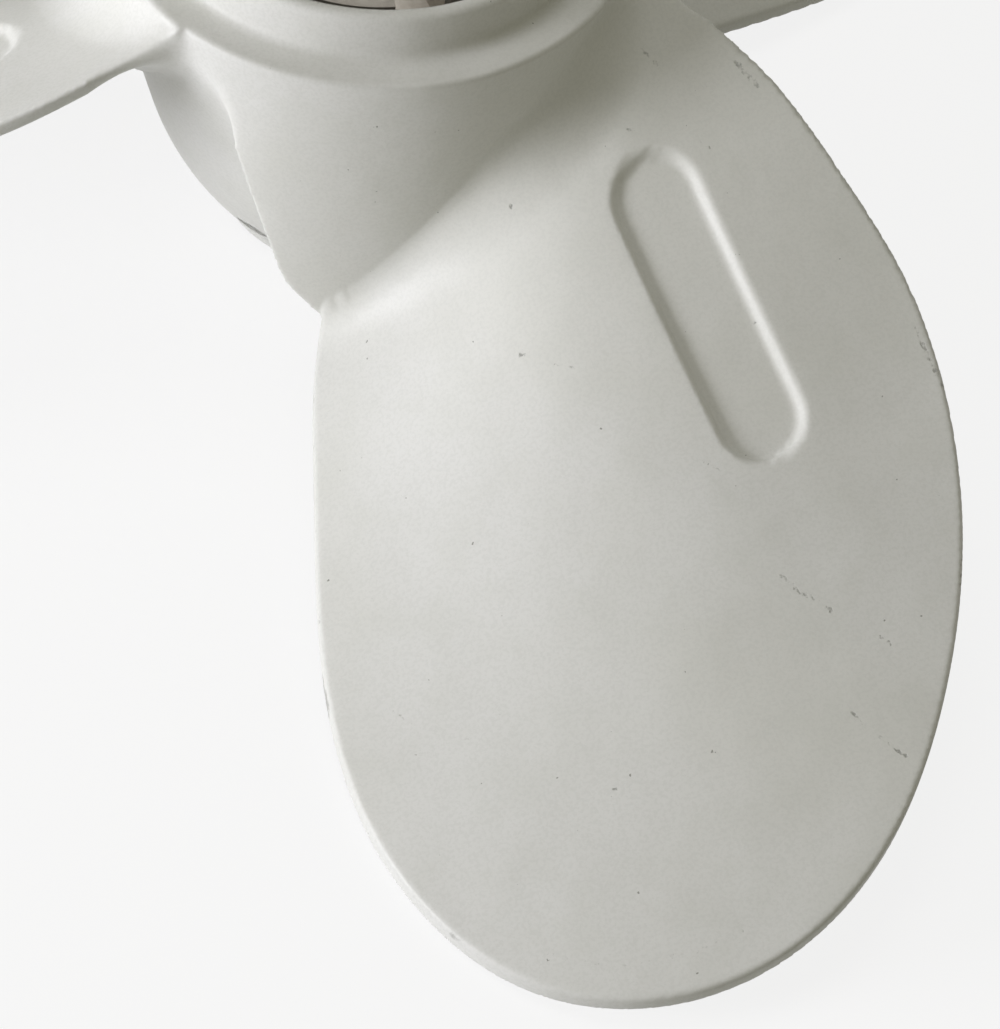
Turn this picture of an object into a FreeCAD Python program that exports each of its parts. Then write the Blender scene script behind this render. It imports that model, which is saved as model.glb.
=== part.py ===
"""Small three-blade outboard propeller, driven by a shear pin, 7 1/4 in across and 5 in of pitch.

The shaft axis is Z and the front of the hub, which faces the gearcase, is up.
The origin is on the shaft axis. The first blade points along -Y.
Three pieces: the aluminium casting, the rubber bush pressed into it, and the slotted metal
sleeve inside the bush, which takes the shaft and the pin and winds up in the rubber.
"""
import FreeCAD, Part
import math
import os

V = FreeCAD.Vector
INCH = 25.4

# Blades: a right-hand helix with a straight rake, seen along the shaft as rounded ears.
BLADES = 3
FIRST_BLADE_ANGLE = -90.0
TIP_RADIUS = 7.25 * INCH / 2
PITCH = 5.0 * INCH
RAKE = 0.163
RAKE_START_RADIUS = 20.0
BLADE_WIDTH = 58.0
WIDEST_SHARE = 0.54
ROOT_WIDTH_SHARE = 0.6
MIDDLE_OFFSET = 0.145
EDGE_THICKNESS = 1.7
ROOT_THICKNESS = 6.5
THINNING_POWER = 1.5
FRONT_FILLET = 9.0
FRONT_FILLET_STEEPEST = 80.0
FILLET_ROOM_SHARE = 0.8
LEAST_FILLET = 0.3
REAR_FILLET = 4.5
REAR_FILLET_STEEPEST = 62.0

# Outline of a blade: share of the span from the hub to the tip, and offset from the blade's
# centre line round the shaft as a share of the blade width.
LEADING_EDGE = (
    (0.08, 0.487), (0.20, 0.570), (0.33, 0.623), (0.46, 0.653), (0.60, 0.633),
    (0.72, 0.565), (0.83, 0.460), (0.92, 0.337), (0.98, 0.190),
)
TIP_OFFSET = 0.045
TRAILING_EDGE = (
    (0.98, -0.110), (0.93, -0.220), (0.83, -0.312), (0.70, -0.357), (0.54, -0.352),
    (0.37, -0.307), (0.20, -0.248), (0.03, -0.180),
)
ROOT_LEADING_OFFSET = 0.40
ROOT_TRAILING_OFFSET = -0.10
ROOT_DEPTH = 7.0

# Shallow marking pocket in the front face of each blade: radius and angle of its two round ends.
POCKET_INNER_END = (34.5, 28.8)
POCKET_OUTER_END = (53.3, 21.3)
POCKET_HALF_WIDTH = 3.55
POCKET_DEPTH = 0.8

# Hub: a round front body with a stepped boss, a cone behind it and a steeper nose at the tail.
HUB_RADIUS = 23.4
SHOULDER_Z = 22.0
BOSS_BASE_RADIUS = HUB_RADIUS - 3.5
BOSS_TOP_RADIUS = BOSS_BASE_RADIUS - 0.4
BOSS_FRONT_Z = SHOULDER_Z + 4.0
BOSS_BASE_ROUND = 1.2
BOSS_EDGE_CHAMFER = 0.6
CONE_START_Z = SHOULDER_Z - 5.7
CONE_ANGLE = 16.8
NOSE_START_Z = -5.0
NOSE_ANGLE = 32.0
NOSE_START_ROUND = 8.0
TAIL_END_Z = -15.4
TAIL_EDGE_CHAMFER = 1.2

# The mould halves meet on a line round the hub. It is level behind each leading edge, drops
# steeply to the trailing edge of the blade before, and then follows that blade's root. Ahead of
# the line the hub stays as wide as its front, so it stands proud of the cone along the drop.
PARTING_LEVEL_Z = SHOULDER_Z - 3.5
RAMP_TOP_ANGLE = -51.6
RAMP_FOOT_ANGLE = -32.5
RAMP_FOOT_Z = -5.5
BLADE_TRAILING_ANGLE = -24.0
PARTING_BELOW_FACE = 0.8

# Recess, rubber bush, drive sleeve, shaft and pins.
RECESS_RADIUS = BOSS_TOP_RADIUS - 1.4
RECESS_FLOOR_Z = BOSS_FRONT_Z - 10.0
BUSH_RADIUS = RECESS_RADIUS - 3.1
BUSH_BACK_Z = -2.0
BUSH_FRONT_Z = RECESS_FLOOR_Z - 0.4
BUSH_LIP_DEPTH = 1.2
SLEEVE_RADIUS = 8.5
SLEEVE_BACK_Z = BUSH_BACK_Z + 0.8
SLEEVE_CLEARANCE = 0.05
FLANGE_RADIUS = BUSH_RADIUS - 1.0
FLANGE_BACK_Z = RECESS_FLOOR_Z
FLANGE_FRONT_Z = BOSS_FRONT_Z - 3.6
FLANGE_EDGE_CHAMFER = 0.6
SHAFT_RADIUS = 5.0
SHAFT_CLEARANCE = 0.05
TAIL_BORE_CLEARANCE = 0.3
SHEAR_PIN_SLOT_WIDTH = 4.4
SHEAR_PIN_SLOT_DEPTH = 4.6
SPLIT_PIN_RADIUS = 1.6
SPLIT_PIN_Z = -9.5
SPLIT_PIN_ANGLE = 36.0

# How far cutting shapes reach past what they cut, and how far the blade's two faces reach past
# its edges, as a multiple of half its width. The rear face is the wider one.
REACH = 5.0
FRONT_OVERHANG = 1.3
REAR_OVERHANG = 1.4

# Points that each face of a blade is drawn through, and points on the parting line per blade.
CHORD_COLUMNS = 15
FILLET_ROWS = 6
SPAN_ROWS = 9
PARTING_STEPS = 36

LIFT_PER_RADIAN = PITCH / (2 * math.pi)


def spin(shape, angle):
    """Return a copy turned about the shaft axis."""
    copy = shape.copy()
    copy.rotate(V(0, 0, 0), V(0, 0, 1), angle)
    return copy


def blade_angles():
    return [FIRST_BLADE_ANGLE + k * 360.0 / BLADES for k in range(BLADES)]


def rim(body, radius, z):
    """The body's circular edge of the given radius and height."""
    return [e for e in body.Edges
            if abs(e.BoundBox.ZMin - z) < 0.01 and abs(e.BoundBox.ZMax - z) < 0.01
            and abs(e.BoundBox.XMax - radius) < 0.01]


def turned(points):
    """Solid turned from a closed outline of radii and heights."""
    corners = [V(radius, 0, z) for radius, z in points]
    return Part.Face(Part.makePolygon(corners + corners[:1])).revolve(V(0, 0, 0), V(0, 0, 1), 360)


def disc(radius, bottom, top):
    return Part.makeCylinder(radius, top - bottom, V(0, 0, bottom))


def face_height(radius, angle):
    """Height of the blade's helicoid, with the angle in radians from the blade's centre line."""
    return LIFT_PER_RADIAN * angle - RAKE * (radius - RAKE_START_RADIUS)


def polar(radius, angle, z=0.0):
    return V(radius * math.cos(angle), radius * math.sin(angle), z)


# ---------------------------------------------------------------- blades
def outline_point(share, offset):
    radius = HUB_RADIUS + share * (TIP_RADIUS - HUB_RADIUS)
    return polar(radius, offset * BLADE_WIDTH / radius)


def blade_outline():
    """Blade seen along the shaft, closed inside the hub by a straight line."""
    inner = -ROOT_DEPTH / (TIP_RADIUS - HUB_RADIUS)
    stations = [(inner, ROOT_LEADING_OFFSET)]
    stations += list(LEADING_EDGE)
    stations += [(1.0, TIP_OFFSET)]
    stations += list(TRAILING_EDGE)
    stations += [(inner, ROOT_TRAILING_OFFSET)]
    points = [outline_point(share, offset) for share, offset in stations]
    curve = Part.BSplineCurve()
    curve.interpolate(points)
    wire = Part.Wire([curve.toShape(), Part.makeLine(points[-1], points[0])])
    face = Part.Face(wire)
    height = 2 * (BOSS_FRONT_Z - TAIL_END_Z)
    face.translate(V(0, 0, -height / 2))
    return face.extrude(V(0, 0, height))


def half_chord(radius):
    """Half of the blade's width at a radius, kept at its greatest outside the widest station."""
    share = (radius - HUB_RADIUS) / (TIP_RADIUS - HUB_RADIUS) / WIDEST_SHARE
    growth = math.sin(math.pi / 2 * max(0.0, min(1.0, share)))
    return BLADE_WIDTH / 2 * (ROOT_WIDTH_SHARE + (1 - ROOT_WIDTH_SHARE) * growth)


def middle_thickness(radius):
    share = max(0.0, min(1.0, (radius - HUB_RADIUS) / (TIP_RADIUS - HUB_RADIUS)))
    return EDGE_THICKNESS + (ROOT_THICKNESS - EDGE_THICKNESS) * (1 - share) ** THINNING_POWER


def tail_radius(z):
    """Radius of the hub's cone and nose at a height."""
    cone = min(max(CONE_START_Z - z, 0.0), CONE_START_Z - NOSE_START_Z)
    nose = max(NOSE_START_Z - z, 0.0)
    return HUB_RADIUS - cone * math.tan(math.radians(CONE_ANGLE)) - nose * math.tan(math.radians(NOSE_ANGLE))


def root_profile(root_radius, fillet, steepest, margin):
    """Radii and lifts along one blade face: into the hub, round the fillet, out past the tip."""
    last = math.radians(steepest)
    into_hub = 3.0
    rows = [(
        root_radius + fillet * (1 - math.sin(last)) - into_hub * math.cos(last),
        fillet * (1 - math.cos(last)) + into_hub * math.sin(last),
    )]
    for k in range(FILLET_ROWS):
        turn = last * (1 - k / FILLET_ROWS)
        rows.append((
            root_radius + fillet * (1 - math.sin(turn)),
            fillet * (1 - math.cos(turn)),
        ))
    start = root_radius + fillet
    for k in range(SPAN_ROWS + 1):
        rows.append((start + (TIP_RADIUS + margin - start) * k / SPAN_ROWS, 0.0))
    return rows


def blade_face(front):
    """One broad face of the blade, as a smooth surface wider and longer than the blade."""
    margin = REACH if front else 2 * REACH
    overhang = FRONT_OVERHANG if front else REAR_OVERHANG
    middle = MIDDLE_OFFSET * BLADE_WIDTH
    grid = []
    for i in range(CHORD_COLUMNS):
        across = 2 * overhang * (i / (CHORD_COLUMNS - 1) - 0.5)
        root_angle = (middle + across * half_chord(HUB_RADIUS)) / HUB_RADIUS
        root_z = face_height(HUB_RADIUS, root_angle)
        if front:
            room = max(LEAST_FILLET, FILLET_ROOM_SHARE * (SHOULDER_Z - root_z))
            fillet = (FRONT_FILLET ** -3 + room ** -3) ** (-1.0 / 3)
            rows = root_profile(HUB_RADIUS, fillet, FRONT_FILLET_STEEPEST, margin)
        else:
            rows = root_profile(tail_radius(root_z), REAR_FILLET, REAR_FILLET_STEEPEST, margin)
        line = []
        for radius, lift in rows:
            angle = (middle + across * half_chord(radius)) / radius
            z = face_height(radius, angle)
            if front:
                swell = math.cos(math.pi / 2 * min(1.0, abs(across))) ** 2
                z += (middle_thickness(radius) - EDGE_THICKNESS) * swell + lift
            else:
                z -= EDGE_THICKNESS + lift
            line.append(polar(radius, angle, z))
        grid.append(line)
    surface = Part.BSplineSurface()
    surface.interpolate(grid)
    return surface.toShape()


def marking_pocket(front_face):
    """Cutter for the shallow pocket with round ends, its floor following the blade's face."""
    ends = [polar(radius, math.radians(turn)) for radius, turn in (POCKET_INNER_END, POCKET_OUTER_END)]
    middle = (ends[0] + ends[1]) * 0.5
    along = (ends[1] - ends[0]).normalize()
    side = V(-along.y, along.x, 0)
    corners = [
        ends[0] + side * POCKET_HALF_WIDTH,
        ends[0] - along * POCKET_HALF_WIDTH,
        ends[0] - side * POCKET_HALF_WIDTH,
        ends[1] - side * POCKET_HALF_WIDTH,
        ends[1] + along * POCKET_HALF_WIDTH,
        ends[1] + side * POCKET_HALF_WIDTH,
    ]
    wire = Part.Wire([
        Part.Arc(corners[0], corners[1], corners[2]).toShape(),
        Part.makeLine(corners[2], corners[3]),
        Part.Arc(corners[3], corners[4], corners[5]).toShape(),
        Part.makeLine(corners[5], corners[0]),
    ])
    radius = middle.Length
    turn = math.atan2(middle.y, middle.x)
    round_shaft = V(-math.sin(turn), math.cos(turn), 0)
    outward = V(math.cos(turn), math.sin(turn), 0)
    normal = V(0, 0, 1) - round_shaft * (LIFT_PER_RADIAN / radius) + outward * RAKE
    z = face_height(radius, turn)
    outline = Part.Face(wire)
    outline.translate(V(0, 0, z) - normal * (2 * REACH))
    walls = outline.extrude(normal * (5 * REACH))
    floor = front_face.translated(V(0, 0, -POCKET_DEPTH * normal.Length))
    return walls.common(floor.extrude(V(0, 0, 4 * REACH)))


def make_blade():
    front_face = blade_face(front=True)
    rear_face = blade_face(front=False)
    depth = 2 * (BOSS_FRONT_Z - TAIL_END_Z)
    slab = front_face.extrude(V(0, 0, -depth)).common(rear_face.extrude(V(0, 0, depth)))
    blade = slab.common(blade_outline())
    above_shoulder = disc(2 * TIP_RADIUS, SHOULDER_Z, SHOULDER_Z + depth)
    return blade.cut([above_shoulder, marking_pocket(front_face)])


# ---------------------------------------------------------------- hub
def parting_height(angle):
    """Height of the parting line at an angle from the nearest blade ahead of it, in degrees."""
    turn = 360.0 / BLADES
    level_start = math.degrees(
        (PARTING_LEVEL_Z + PARTING_BELOW_FACE + RAKE * (HUB_RADIUS - RAKE_START_RADIUS))
        / LIFT_PER_RADIAN)
    trailing = math.radians(BLADE_TRAILING_ANGLE)
    trailing_z = face_height(HUB_RADIUS, trailing) - PARTING_BELOW_FACE
    corners = [
        (level_start - turn, PARTING_LEVEL_Z),
        (RAMP_TOP_ANGLE, PARTING_LEVEL_Z),
        (RAMP_FOOT_ANGLE, RAMP_FOOT_Z),
        (BLADE_TRAILING_ANGLE, trailing_z),
        (level_start, PARTING_LEVEL_Z),
    ]
    angle = (angle - corners[0][0]) % turn + corners[0][0]
    for (a0, z0), (a1, z1) in zip(corners, corners[1:]):
        if angle <= a1:
            return z0 + (z1 - z0) * (angle - a0) / (a1 - a0)
    return PARTING_LEVEL_Z


def parting_curve(radius):
    steps = PARTING_STEPS * BLADES
    points = []
    for k in range(steps):
        turn = k * 360.0 / steps
        points.append(polar(radius, math.radians(FIRST_BLADE_ANGLE + turn), parting_height(turn)))
    curve = Part.BSplineCurve()
    curve.interpolate(Points=points, PeriodicFlag=True)
    return curve.toShape()


def ahead_of_parting():
    """Everything ahead of the parting surface, which runs out level from the shaft."""
    inner = parting_curve(RECESS_RADIUS / 3)
    outer = parting_curve(HUB_RADIUS + 4 * REACH)
    return Part.makeRuledSurface(inner, outer).extrude(V(0, 0, 2 * (SHOULDER_Z - TAIL_END_Z)))


def round_the_cone():
    """Ring of waste outside the cone and the nose."""
    outside = HUB_RADIUS + 3 * REACH
    behind = TAIL_END_Z - REACH
    ahead = CONE_START_Z + REACH
    ring = turned([
        (tail_radius(behind), behind), (tail_radius(NOSE_START_Z), NOSE_START_Z),
        (HUB_RADIUS + REACH * math.tan(math.radians(CONE_ANGLE)), ahead),
        (outside, ahead), (outside, behind),
    ])
    return ring.makeFillet(NOSE_START_ROUND, rim(ring, tail_radius(NOSE_START_Z), NOSE_START_Z))


def hub():
    """Stepped blank, cut back to the cone and the nose behind the parting line."""
    body = turned([
        (0, TAIL_END_Z), (HUB_RADIUS, TAIL_END_Z), (HUB_RADIUS, SHOULDER_Z),
        (BOSS_BASE_RADIUS, SHOULDER_Z), (BOSS_TOP_RADIUS, BOSS_FRONT_Z), (0, BOSS_FRONT_Z),
    ])
    body = body.cut(round_the_cone().cut(ahead_of_parting()))
    body = body.makeChamfer(TAIL_EDGE_CHAMFER, rim(body, tail_radius(TAIL_END_Z), TAIL_END_Z))
    body = body.makeChamfer(BOSS_EDGE_CHAMFER, rim(body, BOSS_TOP_RADIUS, BOSS_FRONT_Z))
    return body.makeFillet(BOSS_BASE_ROUND, rim(body, BOSS_BASE_RADIUS, SHOULDER_Z))


def hub_cavity():
    """Front recess, seat of the rubber bush, shaft hole and split-pin hole."""
    recess = disc(RECESS_RADIUS, RECESS_FLOOR_Z, BOSS_FRONT_Z + REACH)
    seat = disc(BUSH_RADIUS, BUSH_BACK_Z, BOSS_FRONT_Z)
    shaft_hole = disc(SHAFT_RADIUS + TAIL_BORE_CLEARANCE, TAIL_END_Z - REACH, BOSS_FRONT_Z)
    length = 2 * (HUB_RADIUS + REACH)
    split_pin = Part.makeCylinder(SPLIT_PIN_RADIUS, length, V(-length / 2, 0, SPLIT_PIN_Z), V(1, 0, 0))
    return recess.fuse([seat, shaft_hole, spin(split_pin, SPLIT_PIN_ANGLE)])


def propeller_casting():
    blade = make_blade()
    body = hub().fuse([spin(blade, angle) for angle in blade_angles()])
    return body.cut(hub_cavity()).removeSplitter()


# ---------------------------------------------------------------- bush and sleeve
def rubber_bush():
    outer = disc(BUSH_RADIUS, BUSH_BACK_Z, BUSH_FRONT_Z)
    bore = disc(SLEEVE_RADIUS + SLEEVE_CLEARANCE, BUSH_BACK_Z - REACH, BUSH_FRONT_Z + REACH)
    return outer.makeChamfer(BUSH_LIP_DEPTH, rim(outer, BUSH_RADIUS, BUSH_FRONT_Z)).cut(bore)


def drive_sleeve():
    body = disc(SLEEVE_RADIUS, SLEEVE_BACK_Z, FLANGE_FRONT_Z)
    flange = disc(FLANGE_RADIUS, FLANGE_BACK_Z, FLANGE_FRONT_Z)
    front_edge = rim(flange, FLANGE_RADIUS, FLANGE_FRONT_Z)
    body = body.fuse(flange.makeChamfer(FLANGE_EDGE_CHAMFER, front_edge))
    bore = disc(SHAFT_RADIUS + SHAFT_CLEARANCE, SLEEVE_BACK_Z - REACH, FLANGE_FRONT_Z + REACH)
    length = 2 * (FLANGE_RADIUS + REACH)
    slot = Part.makeBox(
        SHEAR_PIN_SLOT_WIDTH, length, SHEAR_PIN_SLOT_DEPTH + REACH,
        V(-SHEAR_PIN_SLOT_WIDTH / 2, -length / 2, FLANGE_FRONT_Z - SHEAR_PIN_SLOT_DEPTH))
    return body.cut([bore, slot])


NODES = {
    "propeller_casting": propeller_casting,
    "rubber_bush": rubber_bush,
    "drive_sleeve": drive_sleeve,
}


def main():
    os.makedirs("parts", exist_ok=True)
    for name, make in NODES.items():
        shape = make()
        solids = shape.Solids
        if len(solids) == 1:
            shape = solids[0]
        print(name, len(solids), "solid", "valid" if shape.isValid() else "NOT VALID",
              round(shape.Volume / 1000, 2), "cm3", shape.BoundBox)
        shape.exportStep("parts/%s.step" % name)


main()
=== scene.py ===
"""Looks of a small three-blade outboard propeller: painted casting, rubber bush, bronze sleeve.

The casting is modelled again here as one fine mesh with soft cast edges, round the same sizes as
the CAD node that it replaces. Lengths in the modelling functions are millimetres, and blade
offsets are shares of the blade's width, measured round the hub from the blade's own axis.
"""
import math

import bpy
import numpy as np
from mathutils import Matrix, Vector


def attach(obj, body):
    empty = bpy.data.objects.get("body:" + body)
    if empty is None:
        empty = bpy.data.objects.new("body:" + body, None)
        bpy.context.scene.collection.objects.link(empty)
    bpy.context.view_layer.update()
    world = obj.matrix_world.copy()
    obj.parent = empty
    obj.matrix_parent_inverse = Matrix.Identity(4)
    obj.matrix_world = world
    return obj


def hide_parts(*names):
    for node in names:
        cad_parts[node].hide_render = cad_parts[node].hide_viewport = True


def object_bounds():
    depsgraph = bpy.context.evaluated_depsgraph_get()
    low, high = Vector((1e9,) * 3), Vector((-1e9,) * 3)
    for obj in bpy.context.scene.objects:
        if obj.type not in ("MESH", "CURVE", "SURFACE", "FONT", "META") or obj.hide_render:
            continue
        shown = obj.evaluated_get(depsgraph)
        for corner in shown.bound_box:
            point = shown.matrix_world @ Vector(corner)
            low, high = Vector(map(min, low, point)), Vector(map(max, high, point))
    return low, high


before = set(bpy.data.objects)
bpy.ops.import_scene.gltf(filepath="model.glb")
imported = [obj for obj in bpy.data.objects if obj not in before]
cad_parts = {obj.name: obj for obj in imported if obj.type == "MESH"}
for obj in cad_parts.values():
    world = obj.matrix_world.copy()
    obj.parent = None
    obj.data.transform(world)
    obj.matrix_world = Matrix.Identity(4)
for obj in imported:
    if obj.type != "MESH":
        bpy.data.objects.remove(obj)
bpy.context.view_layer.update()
MM = 0.001
INCH = 25.4

# ---------------------------------------------------------------- sizes of the casting, in mm
BLADES = 3
FIRST_BLADE_ANGLE = math.radians(-90.0)
TIP_RADIUS = 7.25 * INCH / 2
PITCH = 5.0 * INCH
LIFT_PER_RADIAN = PITCH / (2 * math.pi)
RAKE = 0.163
RAKE_START_RADIUS = 20.0
BLADE_WIDTH = 58.0
BLADE_MIDDLE = 0.145 * BLADE_WIDTH
WIDEST_SHARE = 0.54
ROOT_WIDTH_SHARE = 0.6
EDGE_THICKNESS = 1.7
ROOT_THICKNESS = 6.5
THINNING_POWER = 1.5
FRONT_FILLET = 6.0
FRONT_FILLET_STEEPEST = math.radians(80.0)
REAR_FILLET = 4.5
REAR_FILLET_STEEPEST = math.radians(62.0)
REAR_FILLET_HIGHEST = 4.0
TRAILING_FILLET = 4.0
TRAILING_FILLET_GROWTH = 0.3
SHOULDER_ROOM_SHARE = 0.8
LEAST_SHOULDER_ROOM = 0.3
RIM_ROUND = 0.3

# the leading edge stands a little proud of the pure helix near the hub
LEADING_LIFT = 1.1
LEADING_LIFT_START = 38.0
LEADING_LIFT_FADE = 24.0

# outline of a blade: share of the span, and offset as a share of the blade's width
LEADING_EDGE = (
    (0.08, 0.478), (0.20, 0.561), (0.33, 0.617), (0.46, 0.653), (0.60, 0.633),
    (0.72, 0.565), (0.83, 0.460), (0.92, 0.337), (0.98, 0.190),
)
TIP_OFFSET = 0.045
TRAILING_EDGE = (
    (0.98, -0.110), (0.93, -0.220), (0.83, -0.312), (0.70, -0.357), (0.54, -0.352),
    (0.37, -0.307), (0.20, -0.248), (0.03, -0.180),
)
ROOT_LEADING_OFFSET = 0.40
ROOT_TRAILING_OFFSET = -0.10
ROOT_DEPTH = 7.0
# the buried inner ends of a blade stay inside the hub's wall: height at the hub, and radius
ROOT_HEIGHTS = (-6.0, -1.0, 12.0, 16.0)
ROOT_END_RADII = (12.0, 16.0, 16.5, 19.0)

POCKET_INNER_END = (34.5, math.radians(28.8))
POCKET_OUTER_END = (53.3, math.radians(21.3))
POCKET_HALF_WIDTH = 3.55
POCKET_DEPTH = 0.8
POCKET_WALL = 0.8

HUB_RADIUS = 23.4
SHOULDER_Z = 22.0
BOSS_BASE_RADIUS = 19.9
BOSS_TOP_RADIUS = 19.5
BOSS_FRONT_Z = 26.0
CONE_START_Z = 19.5
CONE_ANGLE = math.radians(14.7)
NOSE_START_Z = -5.0
NOSE_ANGLE = math.radians(32.0)
NOSE_BLEND = 5.0
TAIL_END_Z = -15.4
TAIL_EDGE_ROUND = 1.2
TAIL_BORE_CHAMFER = 0.3
BOSS_BASE_ROUND = 0.7
BOSS_EDGE_ROUND = 0.6
SHOULDER_EDGE_ROUND = 0.3
RECESS_EDGE_ROUND = 0.45
RECESS_RADIUS = 18.1
RECESS_FLOOR_Z = 16.0
BUSH_RADIUS = 15.0
BUSH_BACK_Z = -2.0
TAIL_BORE_RADIUS = 5.3
SPLIT_PIN_RADIUS = 1.6
SPLIT_PIN_Z = -9.5
SPLIT_PIN_ANGLE = math.radians(36.0)

PARTING_LEVEL_Z = 18.5
PARTING_BELOW_FACE = 0.8
RAMP_TOP_ANGLE = math.radians(-51.6)
RAMP_FOOT_ANGLE = math.radians(-32.3)
RAMP_FOOT_Z = -3.6
TRAILING_CORNER_ANGLE = math.radians(-24.0)
TRAILING_CORNER_Z = -7.2
BLADE_TRAILING_ANGLE = math.radians(-20.0)
PARTING_SMOOTHING = 13
FRONT_BODY_TOP_Z = SHOULDER_Z - 1.0
FRONT_BODY_OVERLAP = 2.0
FRONT_BODY_LEAST_WALL = 2.5

# where a blade's leading edge runs out into the parting line
RIDGE_ANGLE = math.radians(62.0)
RIDGE_Z = 18.0
RIDGE_REACH = 9.0
RIDGE_TOP_Z = SHOULDER_Z - 0.4

VOXEL = 0.3
BLADE_ROWS = 260
BLADE_COLUMNS = 240
RIDGE_SMOOTHING = 120


# ---------------------------------------------------------------- meshes and booleans
def mesh_object(name, points, faces):
    """Mesh from points in millimetres."""
    mesh = bpy.data.meshes.new(name)
    mesh.from_pydata([tuple(p) for p in np.asarray(points) * MM], [], faces)
    mesh.update()
    obj = bpy.data.objects.new(name, mesh)
    bpy.context.scene.collection.objects.link(obj)
    return obj


def grid_faces(rows, columns, first=0, close_rows=False, close_columns=False):
    """Quads over a grid of points stored row by row."""
    faces = []
    for i in range(rows if close_rows else rows - 1):
        for j in range(columns if close_columns else columns - 1):
            a = first + i * columns + j
            b = first + i * columns + (j + 1) % columns
            c = first + ((i + 1) % rows) * columns + (j + 1) % columns
            d = first + ((i + 1) % rows) * columns + j
            faces.append((a, b, c, d))
    return faces


def apply_modifier(obj, kind, **settings):
    """Adds one modifier with these settings and applies it."""
    modifier = obj.modifiers.new(kind.lower(), kind)
    for key, value in settings.items():
        setattr(modifier, key, value)
    graph = bpy.context.evaluated_depsgraph_get()
    mesh = bpy.data.meshes.new_from_object(obj.evaluated_get(graph))
    obj.modifiers.clear()
    obj.data = mesh
    return obj


def join_meshes(name, objects):
    """One mesh holding all the closed shells, for the remesh to merge."""
    points, faces = [], []
    for obj in objects:
        first = len(points)
        points += [tuple(v.co / MM) for v in obj.data.vertices]
        faces += [tuple(first + k for k in p.vertices) for p in obj.data.polygons]
        bpy.data.objects.remove(obj)
    return mesh_object(name, points, faces)


# ---------------------------------------------------------------- blade
def face_height(radius, angle):
    """Height of the raked helix that a blade's front face follows."""
    return LIFT_PER_RADIAN * angle - RAKE * (radius - RAKE_START_RADIUS)


def span_share(radius):
    """0 at the hub's radius, 1 at the tip."""
    return np.clip((radius - HUB_RADIUS) / (TIP_RADIUS - HUB_RADIUS), 0, 1)


def half_chord(radius):
    """Half the width over which the blade's thickness swells, at a radius."""
    share = np.minimum(1, span_share(radius) / WIDEST_SHARE)
    widening = (1 - ROOT_WIDTH_SHARE) * np.sin(math.pi / 2 * share)
    return BLADE_WIDTH / 2 * (ROOT_WIDTH_SHARE + widening)


def tail_radius(z):
    """Radius of the hub's cone and nose at a height, with the bend between them eased."""
    z = np.asarray(z, float)
    cone = np.clip(CONE_START_Z - z, 0, None) * math.tan(CONE_ANGLE)
    past = np.clip(NOSE_START_Z + NOSE_BLEND - z, 0, 2 * NOSE_BLEND)
    eased = past ** 2 / (4 * NOSE_BLEND) + np.clip(NOSE_START_Z - NOSE_BLEND - z, 0, None)
    return HUB_RADIUS - cone - eased * (math.tan(NOSE_ANGLE) - math.tan(CONE_ANGLE))


def smooth_curve(points, samples):
    """Natural cubic spline through the points, spaced by their distances."""
    points = np.asarray(points, float)
    steps = np.linalg.norm(np.diff(points, axis=0), axis=1)
    knots = np.concatenate([[0], np.cumsum(steps)])
    n = len(points)
    system = np.eye(n)
    target = np.zeros_like(points)
    for k in range(1, n - 1):
        a, b = steps[k - 1], steps[k]
        system[k, k - 1:k + 2] = a, 2 * (a + b), b
        target[k] = 6 * ((points[k + 1] - points[k]) / b - (points[k] - points[k - 1]) / a)
    bend = np.linalg.solve(system, target)
    at = np.linspace(0, knots[-1], samples)
    k = np.clip(np.searchsorted(knots, at, side="right") - 1, 0, n - 2)
    h = steps[k][:, None]
    left = (knots[k + 1] - at)[:, None]
    right = (at - knots[k])[:, None]
    return (
        (bend[k] * left ** 3 + bend[k + 1] * right ** 3) / (6 * h)
        + (points[k] / h - bend[k] * h / 6) * left
        + (points[k + 1] / h - bend[k + 1] * h / 6) * right
    )


def blade_outline():
    """Outline in plan, from the leading root round the tip to the trailing root."""
    inner = -ROOT_DEPTH / (TIP_RADIUS - HUB_RADIUS)
    stations = [(inner, ROOT_LEADING_OFFSET), *LEADING_EDGE, (1.0, TIP_OFFSET)]
    stations += [*TRAILING_EDGE, (inner, ROOT_TRAILING_OFFSET)]
    radius = HUB_RADIUS + np.array([s for s, _ in stations]) * (TIP_RADIUS - HUB_RADIUS)
    angle = np.array([o for _, o in stations]) * BLADE_WIDTH / radius
    return smooth_curve(np.stack([radius * np.cos(angle), radius * np.sin(angle)], 1), 900)


def distance_to_line(x, y, line):
    """Shortest distance in plan from each point to a polyline."""
    a, b = line[:-1], line[1:]
    best = np.full(x.shape, 1e9)
    for (ax, ay), (bx, by) in zip(a, b):
        dx, dy = bx - ax, by - ay
        t = np.clip(((x - ax) * dx + (y - ay) * dy) / (dx * dx + dy * dy), 0, 1)
        best = np.minimum(best, np.hypot(x - ax - t * dx, y - ay - t * dy))
    return best


def fillet_lift(reach, size, steepest):
    """Rise of a round fillet at a distance from the wall, straight beyond its steepest angle."""
    start = size * (1 - math.sin(steepest))
    inside = np.clip(size - np.clip(reach, start, size), 0, None)
    rise = size - np.sqrt(size ** 2 - inside ** 2)
    return rise + np.clip(start - reach, 0, None) * math.tan(steepest)


def smooth_step(x):
    """Smooth rise from 0 to 1 while x goes from 0 to 1."""
    x = np.clip(x, 0, 1)
    return x * x * (3 - 2 * x)


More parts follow.
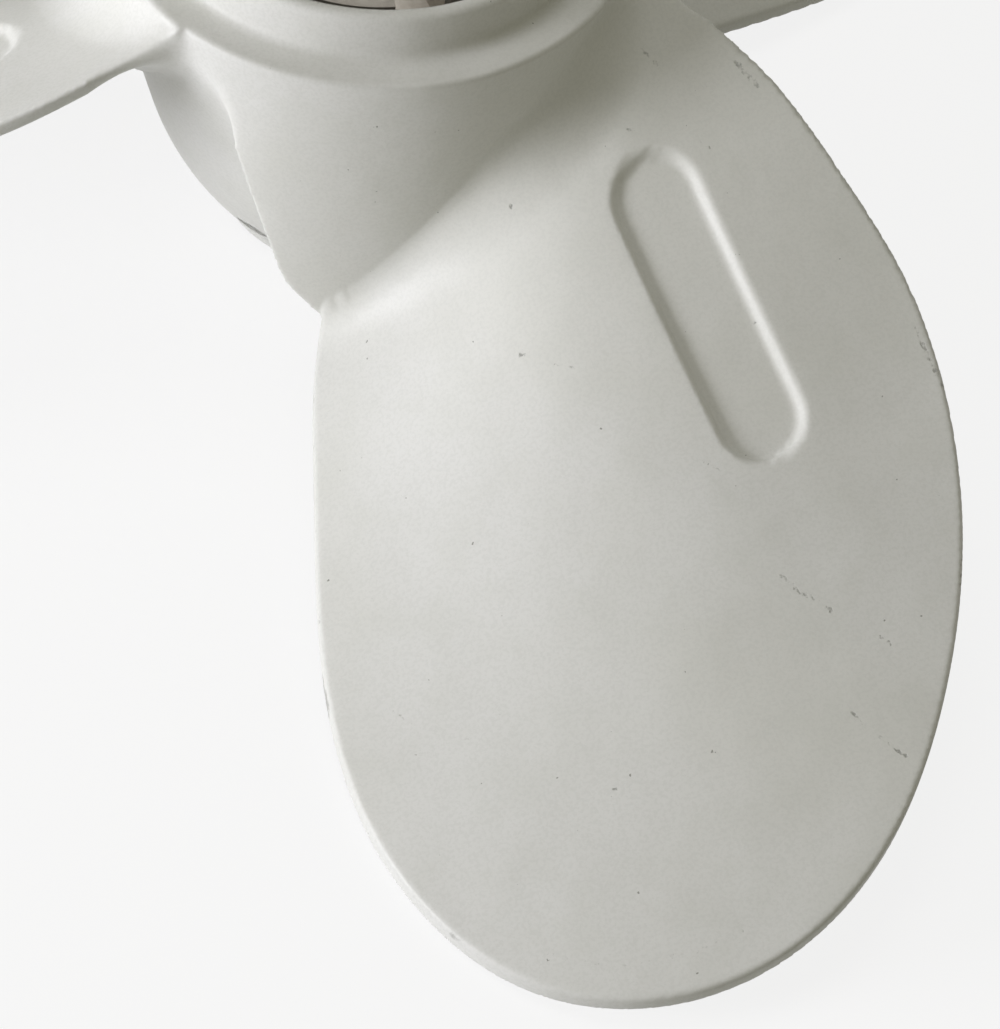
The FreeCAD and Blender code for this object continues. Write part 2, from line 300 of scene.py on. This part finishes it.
def blade_grid():
    """Radius, arc offset and height at the hub of the grid over a blade, edge to edge."""
    outline = blade_outline()
    radius = np.hypot(outline[:, 0], outline[:, 1])
    arc = np.arctan2(outline[:, 1], outline[:, 0]) * radius
    tip = int(np.argmax(radius))
    tip_radius = radius[tip]
    even = np.linspace(0, 1, BLADE_ROWS)
    tip_rows = 0.125 + 0.875 * np.sin(math.pi / 2 * (even - 0.25) / 0.75)
    along = np.where(even < 0.25, even * 0.5, tip_rows)
    across = (1 - np.cos(np.linspace(0, math.pi, BLADE_COLUMNS))) / 2
    root_arc = arc[-1] + (arc[0] - arc[-1]) * across
    root_z = face_height(HUB_RADIUS, root_arc / HUB_RADIUS)
    inner = np.interp(root_z, ROOT_HEIGHTS, ROOT_END_RADII)
    r = inner[None, :] + (tip_radius - inner)[None, :] * along[:, None]
    leading = np.interp(r, radius[:tip + 1], arc[:tip + 1])
    trailing = np.interp(r, radius[tip:][::-1], arc[tip:][::-1])
    return r, trailing + (leading - trailing) * across[None, :], trailing


def blade_base(r, s, lean):
    """Height of a blade's front face before its swell and fillets."""
    near_root = 1 - smooth_step((r - LEADING_LIFT_START) / LEADING_LIFT_FADE)
    return face_height(r, s / r) + LEADING_LIFT * smooth_step(lean) * near_root


def front_fillet(s, trailing, hub_z):
    """Size of the front root fillet, less near the shoulder and near the trailing edge."""
    shoulder_room = np.maximum(LEAST_SHOULDER_ROOM, SHOULDER_ROOM_SHARE * (SHOULDER_Z - hub_z))
    edge_room = TRAILING_FILLET + TRAILING_FILLET_GROWTH * np.clip(s - trailing, 0, None)
    return (FRONT_FILLET ** -3.0 + shoulder_room ** -3 + edge_room ** -3) ** (-1 / 3)


def hub_ceiling(r):
    """Highest a blade's buried root may reach without showing in the bush seat or the recess."""
    below_bush = BUSH_BACK_Z - 0.5
    below_recess = RECESS_FLOOR_Z - 0.5
    walls = (BUSH_RADIUS + 0.3, BUSH_RADIUS + 1.3, RECESS_RADIUS + 0.3, RECESS_RADIUS + 1.3)
    return np.interp(r, walls, (below_bush, below_recess, below_recess, SHOULDER_Z))


def rim_inset(x, y, outline):
    """How far a face drops at the blade's rounded rim."""
    reach = np.clip(RIM_ROUND - distance_to_line(x, y, outline), 0, RIM_ROUND)
    return RIM_ROUND - np.sqrt(RIM_ROUND ** 2 - reach ** 2)


def pocket_drop(x, y, r):
    """Depth of the shallow marking pocket, which is left bare."""
    ends = [(q * math.cos(t), q * math.sin(t)) for q, t in (POCKET_INNER_END, POCKET_OUTER_END)]
    wall = POCKET_HALF_WIDTH - distance_to_line(x, y, np.array(ends))
    return POCKET_DEPTH * smooth_step(wall / POCKET_WALL + 0.5) * (r > HUB_RADIUS)


def closed_faces(rows, columns):
    """Faces of two grids, one above the other, joined round their border."""
    count = rows * columns
    faces = grid_faces(rows, columns)
    faces += [tuple(count + k for k in reversed(f)) for f in grid_faces(rows, columns)]
    border = [j for j in range(columns)]
    border += [i * columns + columns - 1 for i in range(1, rows)]
    border += [(rows - 1) * columns + j for j in range(columns - 2, -1, -1)]
    border += [i * columns for i in range(rows - 2, 0, -1)]
    for a, b in zip(border, border[1:] + border[:1]):
        faces.append((b, a, count + a, count + b))
    return faces


def blade_mesh(name):
    """One blade along +X, with its root buried in the hub."""
    r, s, trailing = blade_grid()
    lean = (s - BLADE_MIDDLE) / half_chord(r)
    hub_z = face_height(HUB_RADIUS, (BLADE_MIDDLE + lean * half_chord(HUB_RADIUS)) / HUB_RADIUS)
    base = blade_base(r, s, lean)
    swell = np.cos(math.pi / 2 * np.minimum(1, np.abs(lean))) ** 2
    middle = (ROOT_THICKNESS - EDGE_THICKNESS) * (1 - span_share(r)) ** THINNING_POWER
    fillet = front_fillet(s, trailing, hub_z)
    front = base + middle * swell + fillet_lift(r - HUB_RADIUS, fillet, FRONT_FILLET_STEEPEST)
    front = np.minimum(front, hub_ceiling(r))
    rear_lift = fillet_lift(r - tail_radius(hub_z), REAR_FILLET, REAR_FILLET_STEEPEST)
    rear = base - EDGE_THICKNESS - np.minimum(rear_lift, REAR_FILLET_HIGHEST)

    x = r * np.cos(s / r)
    y = r * np.sin(s / r)
    inset = rim_inset(x, y, blade_outline()[::3])
    front = front - inset - pocket_drop(x, y, r)
    rear = rear + inset
    points = [np.stack([x, y, z], 2).reshape(-1, 3) for z in (front, rear)]
    return mesh_object(name, np.concatenate(points), closed_faces(*r.shape))


# ---------------------------------------------------------------- hub
def arc_points(centre, size, start, end, steps=10):
    """Points round an arc, from one angle to another in degrees."""
    turn = np.radians(np.linspace(start, end, steps))
    return [(centre[0] + size * math.cos(t), centre[1] + size * math.sin(t)) for t in turn]


def hub_profile():
    """Closed outline of the turned hub in radius and height, with its rounded edges."""
    tail_edge_z = TAIL_END_Z + TAIL_EDGE_ROUND
    tail_edge = float(tail_radius(tail_edge_z)) - TAIL_EDGE_ROUND
    cone_heights = (CONE_START_Z, *np.linspace(NOSE_START_Z + NOSE_BLEND, tail_edge_z, 24))
    boss_edge = (BOSS_TOP_RADIUS - BOSS_EDGE_ROUND, BOSS_FRONT_Z - BOSS_EDGE_ROUND)
    boss_base = (BOSS_BASE_RADIUS + BOSS_BASE_ROUND, SHOULDER_Z + BOSS_BASE_ROUND)
    shoulder = (HUB_RADIUS - SHOULDER_EDGE_ROUND, SHOULDER_Z - SHOULDER_EDGE_ROUND)
    recess = (RECESS_RADIUS + RECESS_EDGE_ROUND, BOSS_FRONT_Z - RECESS_EDGE_ROUND)
    profile = arc_points(boss_edge, BOSS_EDGE_ROUND, 90, 5)
    profile += arc_points(boss_base, BOSS_BASE_ROUND, 185, 270)
    profile += arc_points(shoulder, SHOULDER_EDGE_ROUND, 90, 0)
    profile += [(float(tail_radius(z)), z) for z in cone_heights]
    profile += arc_points((tail_edge, tail_edge_z), TAIL_EDGE_ROUND, -30, -90, 8)
    profile += [
        (TAIL_BORE_RADIUS + TAIL_BORE_CHAMFER, TAIL_END_Z),
        (TAIL_BORE_RADIUS, TAIL_END_Z + TAIL_BORE_CHAMFER),
        (TAIL_BORE_RADIUS, BUSH_BACK_Z),
        (BUSH_RADIUS, BUSH_BACK_Z),
        (BUSH_RADIUS, RECESS_FLOOR_Z),
        (RECESS_RADIUS, RECESS_FLOOR_Z),
    ]
    return profile + arc_points(recess, RECESS_EDGE_ROUND, 180, 90)


def turned_mesh(name, profile, steps=360):
    """Closed profile of radius and height turned about the Z axis."""
    turn = np.linspace(0, 2 * math.pi, steps, endpoint=False)
    profile = np.array(profile)
    points = np.stack([
        np.outer(np.cos(turn), profile[:, 0]),
        np.outer(np.sin(turn), profile[:, 0]),
        np.outer(np.ones(steps), profile[:, 1]),
    ], 2).reshape(-1, 3)
    return mesh_object(name, points, grid_faces(steps, len(profile), 0, True, True))


def parting_height(angle):
    """Height of the mould's parting line at an angle from the first blade."""
    turn = 2 * math.pi / BLADES
    rise = PARTING_BELOW_FACE + RAKE * (HUB_RADIUS - RAKE_START_RADIUS)
    level_start = (PARTING_LEVEL_Z + rise) / LIFT_PER_RADIAN
    corners = [
        (level_start - turn, PARTING_LEVEL_Z),
        (RAMP_TOP_ANGLE, PARTING_LEVEL_Z),
        (RAMP_FOOT_ANGLE, RAMP_FOOT_Z),
        (TRAILING_CORNER_ANGLE, TRAILING_CORNER_Z),
        (BLADE_TRAILING_ANGLE, LIFT_PER_RADIAN * BLADE_TRAILING_ANGLE - rise),
        (level_start, PARTING_LEVEL_Z),
    ]
    start = corners[0][0]
    angle = (np.asarray(angle) - start) % turn + start
    return np.interp(angle, [a for a, _ in corners], [z for _, z in corners])


def front_body_mesh(name):
    """The part of the hub ahead of the parting line, as a ring from the cone out to its width."""
    turn = np.linspace(0, 2 * math.pi, 720, endpoint=False)
    line = parting_height(turn)
    kernel = np.hanning(PARTING_SMOOTHING) / np.hanning(PARTING_SMOOTHING).sum()
    half = PARTING_SMOOTHING // 2
    line = np.convolve(np.concatenate([line[-half:], line, line[:half]]), kernel, "valid")
    heights = [line + (FRONT_BODY_TOP_Z - line) * share for share in np.linspace(0, 1, 24)]
    rings = [(np.full_like(z, HUB_RADIUS), z) for z in heights]
    for z in reversed(heights):
        inside = np.minimum(tail_radius(z) - FRONT_BODY_OVERLAP, HUB_RADIUS - FRONT_BODY_LEAST_WALL)
        rings.append((inside, z))
    angle = FIRST_BLADE_ANGLE + turn
    points = np.stack([
        np.stack([r * np.cos(angle), r * np.sin(angle), z], 1) for r, z in rings
    ], 1).reshape(-1, 3)
    return mesh_object(name, points, grid_faces(len(turn), len(rings), 0, True, True))


# ---------------------------------------------------------------- the casting as one skin
def vertex_places(obj):
    """Places of an object's vertices in millimetres."""
    places = np.empty(len(obj.data.vertices) * 3)
    obj.data.vertices.foreach_get("co", places)
    return places.reshape(-1, 3) / MM


def soften_leading_roots(casting):
    """Rounds the ridge where each blade's leading edge runs out into the parting line."""
    points = vertex_places(casting)
    weight = np.zeros(len(points))
    for k in range(BLADES):
        turn = FIRST_BLADE_ANGLE + k * 2 * math.pi / BLADES + RIDGE_ANGLE
        centre = (HUB_RADIUS * math.cos(turn), HUB_RADIUS * math.sin(turn), RIDGE_Z)
        near = 1 - np.linalg.norm(points - centre, axis=1) / RIDGE_REACH
        weight = np.maximum(weight, smooth_step(near * 2))
    weight *= smooth_step(RIDGE_TOP_Z - points[:, 2])
    group = casting.vertex_groups.new(name="ridge")
    for step in range(1, 11):
        chosen = np.nonzero(np.round(weight * 10) == step)[0]
        group.add([int(v) for v in chosen], step / 10, "REPLACE")
    apply_modifier(casting, "SMOOTH", factor=0.5, iterations=RIDGE_SMOOTHING, vertex_group="ridge")
    casting.vertex_groups.clear()


def drill_split_pin_hole(casting):
    """Cuts the hole for the split pin across the tail."""
    half_length = HUB_RADIUS
    rod = [
        (0, -half_length), (SPLIT_PIN_RADIUS, -half_length),
        (SPLIT_PIN_RADIUS, half_length), (0, half_length),
    ]
    drill = turned_mesh("split_pin_drill", rod, 48)
    along = Matrix.Rotation(SPLIT_PIN_ANGLE, 4, "Z") @ Matrix.Rotation(math.pi / 2, 4, "Y")
    drill.data.transform(Matrix.Translation((0, 0, SPLIT_PIN_Z * MM)) @ along)
    apply_modifier(casting, "BOOLEAN", object=drill, operation="DIFFERENCE", solver="MANIFOLD")
    bpy.data.objects.remove(drill)


def casting_mesh(name):
    """Hub, front body and blades merged into one skin, drawn back onto their exact surfaces."""
    shells = [turned_mesh("hub_core", hub_profile()), front_body_mesh("front_body")]
    for k in range(BLADES):
        blade = blade_mesh("blade")
        turn = FIRST_BLADE_ANGLE + k * 2 * math.pi / BLADES
        blade.data.transform(Matrix.Rotation(turn, 4, "Z"))
        shells.append(blade)
    exact = join_meshes("exact_shells", shells)
    casting = bpy.data.objects.new(name, exact.data.copy())
    bpy.context.scene.collection.objects.link(casting)
    apply_modifier(casting, "REMESH", mode="VOXEL", voxel_size=VOXEL * MM)
    for smoothing in (3, 1):
        apply_modifier(casting, "SMOOTH", factor=0.5, iterations=smoothing)
        apply_modifier(casting, "SHRINKWRAP", target=exact, wrap_method="NEAREST_SURFACEPOINT")
    apply_modifier(casting, "SMOOTH", factor=0.5, iterations=1)
    bpy.data.objects.remove(exact)
    soften_leading_roots(casting)
    drill_split_pin_hole(casting)
    for polygon in casting.data.polygons:
        polygon.use_smooth = True
    return casting


# ---------------------------------------------------------------- wear, and one painted shade line, as values on the mesh
# scratches and chips on the first blade, and one painted shade line near its tip, as polylines in plan
# with a half width and a strength
BLADE_MARKS_AND_SHADE_LINE = (
    (((16.6, -62.6), (17.4, -64.0), (18.4, -65.2), (19.5, -66.7)), 0.33, 0.52),
    (((22.5, -69.9), (23.3, -70.9)), 0.21, 0.55),
    (((18.2, -74.9), (19.3, -77.0), (20.3, -78.7)), 0.24, 0.5),
    (((20.3, -78.7), (21.2, -80.0)), 0.24, 0.62),
    (((-15.7, -59.7), (-14.0, -62.3), (-12.4, -63.9), (-10.1, -65.7)), 0.18, 0.44),
    (((4.9, -39.2), (6.3, -40.3)), 0.15, 0.55),
    (((13.4, -51.5), (14.7, -52.8)), 0.15, 0.55),
    (((-1.7, -74.0), (-1.4, -74.1)), 0.21, 0.7),
    (((5.2, -25.8), (5.3, -25.9)), 0.18, 0.7),
    (((21.5, -42.0), (21.6, -42.1)), 0.18, 0.7),
    (((2.7, -36.9), (3.0, -37.1)), 0.21, 0.65),
    (((18.6, -19.0), (19.6, -20.4)), 0.30, 0.5),
    (((26.1, -22.0), (27.4, -24.5)), 0.36, 0.5),
    (((21.5, -27.2), (22.0, -27.9)), 0.24, 0.5),
    (((15.6, -24.3), (16.6, -25.2)), 0.24, 0.48),
    (((34.3, -46.8), (35.0, -53.1)), 0.30, 0.52),
    (((31.3, -66.2), (30.2, -68.9)), 0.27, 0.52),
    # painted shade: this last line, just inside the tip's outline, paints the shading where the
    # blade's edge thins towards the tip
    (((-10.7, -84.8), (-7.6, -86.9), (-4.4, -88.2), (0.2, -88.8), (4.6, -88.8)), 0.36, 0.4),
)


RIM_WEAR_WIDTH = 0.4
SHOULDER_WEAR_WIDTH = 0.35
SHOULDER_WEAR_STRENGTH = 1.3
# the bare front recess: how far past its wall, over what width it fades, and how deep
BARE_REACH = 0.35
BARE_FADE = 0.3
BARE_DEPTH = 5.0
# limits round one blade, which leave out the points of its neighbours
BLADE_NEAREST = 12.0
BLADE_HALF_SPREAD = 42.0
FIRST_BLADE_HIGHEST_Y = -15.0


def rim_wear_values(points):
    """Wear along the rims of the blades and round the hub's shoulder."""
    x, y, z = points.T
    radius = np.hypot(x, y)
    outline = blade_outline()[::3]
    wear = np.zeros(len(points))
    for k in range(BLADES):
        turn = FIRST_BLADE_ANGLE + k * 2 * math.pi / BLADES
        along = x * math.cos(turn) + y * math.sin(turn)
        aside = y * math.cos(turn) - x * math.sin(turn)
        on_blade = (along > BLADE_NEAREST) & (np.abs(aside) < BLADE_HALF_SPREAD)
        near = np.nonzero(on_blade & (radius > HUB_RADIUS + 1.5))[0]
        gap = distance_to_line(along[near], aside[near], outline)
        wear[near] = np.maximum(wear[near], smooth_step(1.0 - gap / RIM_WEAR_WIDTH))
    shoulder = np.hypot(radius - HUB_RADIUS + 0.1, z - SHOULDER_Z + 0.1)
    worn = SHOULDER_WEAR_STRENGTH * smooth_step(1.1 - shoulder / SHOULDER_WEAR_WIDTH)
    return np.maximum(wear, worn)


def mark_and_shade_values(points):
    """Strength of the scratches, chips and painted shade line on the front face of the first blade."""
    x, y, z = points.T
    radius = np.hypot(x, y)
    front = face_height(radius, np.arctan2(y, x) - FIRST_BLADE_ANGLE) - 0.5
    on_face = (y < FIRST_BLADE_HIGHEST_Y) & (radius > HUB_RADIUS) & (z > front)
    near = np.nonzero(on_face)[0]
    marks_and_shade = np.zeros(len(points))
    for line, half_width, strength in BLADE_MARKS_AND_SHADE_LINE:
        gap = distance_to_line(x[near], y[near], np.array(line))
        marks_and_shade[near] = np.maximum(marks_and_shade[near], strength * smooth_step(1.5 - gap / half_width))
    return marks_and_shade


def bare_values(points):
    """1 on the unpainted metal of the front recess."""
    x, y, z = points.T
    reach = (RECESS_RADIUS + BARE_REACH - np.hypot(x, y)) / BARE_FADE
    return smooth_step(reach) * (z > RECESS_FLOOR_Z - BARE_DEPTH)


def add_wear_and_shade(casting):
    """Stores where the paint is worn, scratched or missing, and the painted shade line near the first
    blade's tip, for the paint's material to read.
    """
    points = vertex_places(casting)
    layers = (
        ("rim_wear", rim_wear_values(points)),
        ("marks_and_shade", mark_and_shade_values(points)),
        ("bare", bare_values(points)),
    )
    for name, values in layers:
        layer = casting.data.attributes.new(name, "FLOAT", "POINT")
        layer.data.foreach_set("value", values)


# ---------------------------------------------------------------- materials
def new_material(name):
    """New material, with its nodes, its links and its main shader."""
    material = bpy.data.materials.new(name)
    material.use_nodes = True
    nodes = material.node_tree.nodes
    return material, nodes, material.node_tree.links, nodes["Principled BSDF"]


def noise(nodes, links, scale, detail=3.0, roughness=0.5, distortion=0.0):
    """Noise in the object's own space; the scale is in features per metre."""
    place = nodes.new("ShaderNodeTexCoord")
    texture = nodes.new("ShaderNodeTexNoise")
    texture.inputs["Scale"].default_value = scale
    texture.inputs["Detail"].default_value = detail
    texture.inputs["Roughness"].default_value = roughness
    texture.inputs["Distortion"].default_value = distortion
    links.new(place.outputs["Object"], texture.inputs["Vector"])
    return texture.outputs["Fac"]


def attribute(nodes, name):
    """Value that the mesh stores under this name at each point."""
    reader = nodes.new("ShaderNodeAttribute")
    reader.attribute_name = name
    return reader.outputs["Fac"]


def remap(nodes, links, value, low, high, out_low=0.0, out_high=1.0, smooth=True):
    """Maps the range low to high onto out_low to out_high, and holds the ends."""
    ramp = nodes.new("ShaderNodeMapRange")
    ramp.interpolation_type = "SMOOTHSTEP" if smooth else "LINEAR"
    ramp.inputs["From Min"].default_value = low
    ramp.inputs["From Max"].default_value = high
    ramp.inputs["To Min"].default_value = out_low
    ramp.inputs["To Max"].default_value = out_high
    links.new(value, ramp.inputs["Value"])
    return ramp.outputs["Result"]


def combine(nodes, links, operation, first, second):
    """Maths node on two sockets or numbers."""
    node = nodes.new("ShaderNodeMath")
    node.operation = operation
    for socket, value in zip(node.inputs, (first, second)):
        if isinstance(value, (int, float)):
            socket.default_value = value
        else:
            links.new(value, socket)
    return node.outputs[0]


def blend(nodes, links, factor, first, second):
    """Colour mix of two sockets or colours."""
    node = nodes.new("ShaderNodeMix")
    node.data_type = "RGBA"
    links.new(factor, node.inputs[0])
    for socket, value in ((node.inputs[6], first), (node.inputs[7], second)):
        if isinstance(value, tuple):
            socket.default_value = (*value, 1)
        else:
            links.new(value, socket)
    return node.outputs[2]


def bump(nodes, links, shader, layers):
    """Stacks bumps from (height socket, depth in metres) pairs."""
    normal = None
    for height, depth in layers:
        node = nodes.new("ShaderNodeBump")
        node.inputs["Strength"].default_value = 1.0
        node.inputs["Distance"].default_value = depth
        links.new(height, node.inputs["Height"])
        if normal:
            links.new(normal, node.inputs["Normal"])
        normal = node.outputs["Normal"]
    links.new(normal, shader.inputs["Normal"])


def painted_casting():
    """Off-white enamel over an aluminium casting, with scuffs, worn edges, a bare recess and a painted
    shade line near one blade's tip.
    """
    material, nodes, links, shader = new_material("painted_casting")
    tint = remap(nodes, links, noise(nodes, links, 28, 3, 0.55), 0.35, 0.65)
    paint = blend(nodes, links, tint, (0.73, 0.73, 0.705), (0.705, 0.705, 0.665))
    mottle = remap(nodes, links, noise(nodes, links, 180, 4, 0.6), 0.42, 0.7, 0, 0.35)
    paint = blend(nodes, links, mottle, paint, (0.66, 0.665, 0.62))
    grain = remap(nodes, links, noise(nodes, links, 3200, 2, 0.6), 0.4, 0.66, 0, 0.3)
    paint = blend(nodes, links, grain, paint, (0.60, 0.605, 0.57))
    speck = remap(nodes, links, noise(nodes, links, 1300, 2, 0.5), 0.765, 0.79)
    paint = blend(nodes, links, speck, paint, (0.30, 0.30, 0.27))

    broken = noise(nodes, links, 1400, 3, 0.65)
    patches = noise(nodes, links, 120, 3, 0.6)
    rim = attribute(nodes, "rim_wear")
    rim_share = combine(nodes, links, "MULTIPLY", rim, remap(nodes, links, patches, 0.5, 0.75))
    rim_wear = remap(nodes, links, combine(nodes, links, "ADD", rim_share, broken), 1.05, 1.4, 0, 0.6)
    # the stored values also carry the painted shade line near the first blade's tip, drawn dark like
    # the scuffs
    mark_and_shade = attribute(nodes, "marks_and_shade")
    mark_wear_and_shade = remap(nodes, links, combine(nodes, links, "ADD", mark_and_shade, broken), 0.95, 1.2, 0, 0.8)
    # wear here also carries the painted shade line near the tip, into colour, roughness and bump
    wear = combine(nodes, links, "MAXIMUM", rim_wear, mark_wear_and_shade)
    # dark tone of chipped paint, also the colour of the painted shade line
    worn_and_shade_tone = blend(nodes, links, broken, (0.10, 0.10, 0.09), (0.42, 0.42, 0.39))
    colour = blend(nodes, links, wear, paint, worn_and_shade_tone)

    bare = attribute(nodes, "bare")
    cast_tone = remap(nodes, links, noise(nodes, links, 420, 4, 0.65), 0.38, 0.62)
    bare_tone = blend(nodes, links, cast_tone, (0.24, 0.235, 0.22), (0.42, 0.41, 0.385))
    colour = blend(nodes, links, bare, colour, bare_tone)
    links.new(colour, shader.inputs["Base Color"])
    links.new(combine(nodes, links, "MULTIPLY", bare, 0.7), shader.inputs["Metallic"])
    gloss = remap(nodes, links, noise(nodes, links, 90, 3, 0.5), 0.35, 0.65, 0.46, 0.56)
    links.new(combine(nodes, links, "ADD", gloss, combine(nodes, links, "MULTIPLY", wear, 0.25)),
              shader.inputs["Roughness"])
    shader.inputs["Specular IOR Level"].default_value = 0.35
    bump(nodes, links, shader, [
        (noise(nodes, links, 45, 2, 0.5), 0.0006),
        (noise(nodes, links, 420, 2, 0.5), 0.00004),
        (noise(nodes, links, 2600, 3, 0.6), 0.000008),
        (combine(nodes, links, "MULTIPLY", wear, -1.0), 0.00004),
        (combine(nodes, links, "MULTIPLY", bare, cast_tone), 0.0001),
    ])
    return material


def bush_rubber():
    """Black rubber with a faint grey bloom."""
    material, nodes, links, shader = new_material("bush_rubber")
    bloom = remap(nodes, links, noise(nodes, links, 600, 4, 0.6), 0.35, 0.75)
    colour = blend(nodes, links, bloom, (0.020, 0.020, 0.021), (0.045, 0.044, 0.042))
    links.new(colour, shader.inputs["Base Color"])
    links.new(remap(nodes, links, bloom, 0, 1, 0.55, 0.85), shader.inputs["Roughness"])
    bump(nodes, links, shader, [(noise(nodes, links, 900, 3, 0.6), 0.00005)])
    return material


def sleeve_metal():
    """Dull, slightly tarnished bronze."""
    material, nodes, links, shader = new_material("sleeve_metal")
    tarnish = remap(nodes, links, noise(nodes, links, 500, 4, 0.65), 0.3, 0.75)
    colour = blend(nodes, links, tarnish, (0.42, 0.39, 0.34), (0.35, 0.325, 0.28))
    links.new(colour, shader.inputs["Base Color"])
    shader.inputs["Metallic"].default_value = 1.0
    links.new(remap(nodes, links, tarnish, 0, 1, 0.44, 0.52), shader.inputs["Roughness"])
    bump(nodes, links, shader, [(noise(nodes, links, 1500, 3, 0.6), 0.00003)])
    return material


def dress(obj, material):
    """Gives an object this one material."""
    obj.data.materials.clear()
    obj.data.materials.append(material)


# ---------------------------------------------------------------- floor, lights and camera
FLOOR_HALF_WIDTH = 3.0
FLOOR_WHITE_SHARE = 0.85
LAMP_AIM = (0.0, -0.04, 0.0)


def backdrop_rays(nodes, links):
    """1 for the rays that show the backdrop: camera, mirror and glass rays."""
    rays = nodes.new("ShaderNodeLightPath")
    glossy, glass = rays.outputs["Is Glossy Ray"], rays.outputs["Is Transmission Ray"]
    mirror = combine(nodes, links, "MAXIMUM", glossy, glass)
    return combine(nodes, links, "MAXIMUM", rays.outputs["Is Camera Ray"], mirror)


def make_floor():
    """Pale floor under the part, white to the camera and clear from below."""
    half = FLOOR_HALF_WIDTH
    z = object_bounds()[0].z
    corners = [(-half, -half, z), (half, -half, z), (half, half, z), (-half, half, z)]
    mesh = bpy.data.meshes.new("floor")
    mesh.from_pydata(corners, [], [(0, 1, 2, 3)])
    floor = bpy.data.objects.new("floor", mesh)
    bpy.context.scene.collection.objects.link(floor)
    material, nodes, links, shader = new_material("floor")
    shader.inputs["Base Color"].default_value = (0.80, 0.80, 0.80, 1)
    shader.inputs["Roughness"].default_value = 0.9
    white = nodes.new("ShaderNodeEmission")
    white.inputs["Color"].default_value = (1, 1, 1, 1)
    mix = nodes.new("ShaderNodeMixShader")
    share = combine(nodes, links, "MULTIPLY", backdrop_rays(nodes, links), FLOOR_WHITE_SHARE)
    links.new(share, mix.inputs[0])
    links.new(shader.outputs[0], mix.inputs[1])
    links.new(white.outputs[0], mix.inputs[2])
    from_below = nodes.new("ShaderNodeMixShader")
    links.new(nodes.new("ShaderNodeNewGeometry").outputs["Backfacing"], from_below.inputs[0])
    links.new(mix.outputs[0], from_below.inputs[1])
    links.new(nodes.new("ShaderNodeBsdfTransparent").outputs[0], from_below.inputs[2])
    links.new(from_below.outputs[0], nodes["Material Output"].inputs["Surface"])
    dress(floor, material)


def area_lamp(name, place, size, power, color):
    """Round area lamp, in metres and watts, turned towards the first blade's root."""
    lamp = bpy.data.lights.new(name, "AREA")
    lamp.shape = "DISK"
    lamp.size = size
    lamp.energy = power
    lamp.color = color
    obj = bpy.data.objects.new(name, lamp)
    obj.location = place
    obj.rotation_euler = (Vector(LAMP_AIM) - Vector(place)).to_track_quat("-Z", "Y").to_euler()
    bpy.context.scene.collection.objects.link(obj)


def lamp_place(heading, rise, away):
    """Place at a heading from +X and a rise, in degrees, and a distance from the aim, in metres."""
    heading, rise = math.radians(heading), math.radians(rise)
    flat = away * math.cos(rise)
    return (flat * math.cos(heading), LAMP_AIM[1] + flat * math.sin(heading), away * math.sin(rise))


def make_light():
    """Two windows on one side, a weak warm sky, and a white backdrop where the sky is seen."""
    world = bpy.data.worlds.new("studio")
    bpy.context.scene.world = world
    world.use_nodes = True
    nodes, links = world.node_tree.nodes, world.node_tree.links
    background = nodes["Background"]
    backdrop = nodes.new("ShaderNodeBackground")
    backdrop.inputs["Color"].default_value = (1, 1, 1, 1)
    backdrop.inputs["Strength"].default_value = 1.0
    mix = nodes.new("ShaderNodeMixShader")
    links.new(backdrop_rays(nodes, links), mix.inputs[0])
    links.new(background.outputs[0], mix.inputs[1])
    links.new(backdrop.outputs[0], mix.inputs[2])
    links.new(mix.outputs[0], nodes["World Output"].inputs["Surface"])
    background.inputs["Color"].default_value = (1.0, 0.96, 0.66, 1)
    background.inputs["Strength"].default_value = 0.165
    area_lamp("low_window", lamp_place(178, 12, 0.4), 0.16, 1.42, (0.94, 0.94, 1.0))
    area_lamp("high_window", lamp_place(110, 72, 0.6), 0.3, 0.8, (0.96, 0.96, 1.0))


CAMERA_PLACE = Vector((-0.0916, -0.2174, 0.2463))
CAMERA_HEADING = math.radians(27.75)
CAMERA_DIP = math.radians(52.67)
CAMERA_ROLL = math.radians(9.68)
FOCAL_LENGTH_MM = 131.5


def make_camera():
    """The photograph's view: from above, turned and rolled, with a long lens."""
    camera = bpy.data.cameras.new("camera")
    camera.sensor_width = 36.0
    camera.lens = FOCAL_LENGTH_MM
    camera.clip_start = 0.01
    obj = bpy.data.objects.new("camera", camera)
    turn = Matrix.Rotation(-CAMERA_HEADING, 4, "Z") @ Matrix.Rotation(math.pi / 2 - CAMERA_DIP, 4, "X")
    obj.matrix_world = Matrix.Translation(CAMERA_PLACE) @ turn @ Matrix.Rotation(CAMERA_ROLL, 4, "Z")
    bpy.context.scene.collection.objects.link(obj)
    bpy.context.scene.camera = obj


# ---------------------------------------------------------------- the scene
def build():
    """Dresses the three pieces; the fine casting takes the place of the CAD one."""
    casting = casting_mesh("painted_propeller")
    add_wear_and_shade(casting)
    dress(casting, painted_casting())
    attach(casting, "propeller")
    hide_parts("propeller_casting")
    dress(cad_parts["rubber_bush"], bush_rubber())
    dress(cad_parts["drive_sleeve"], sleeve_metal())


make_camera()
build()
make_floor()
make_light()
bpy.context.scene.view_settings.view_transform = "Standard"
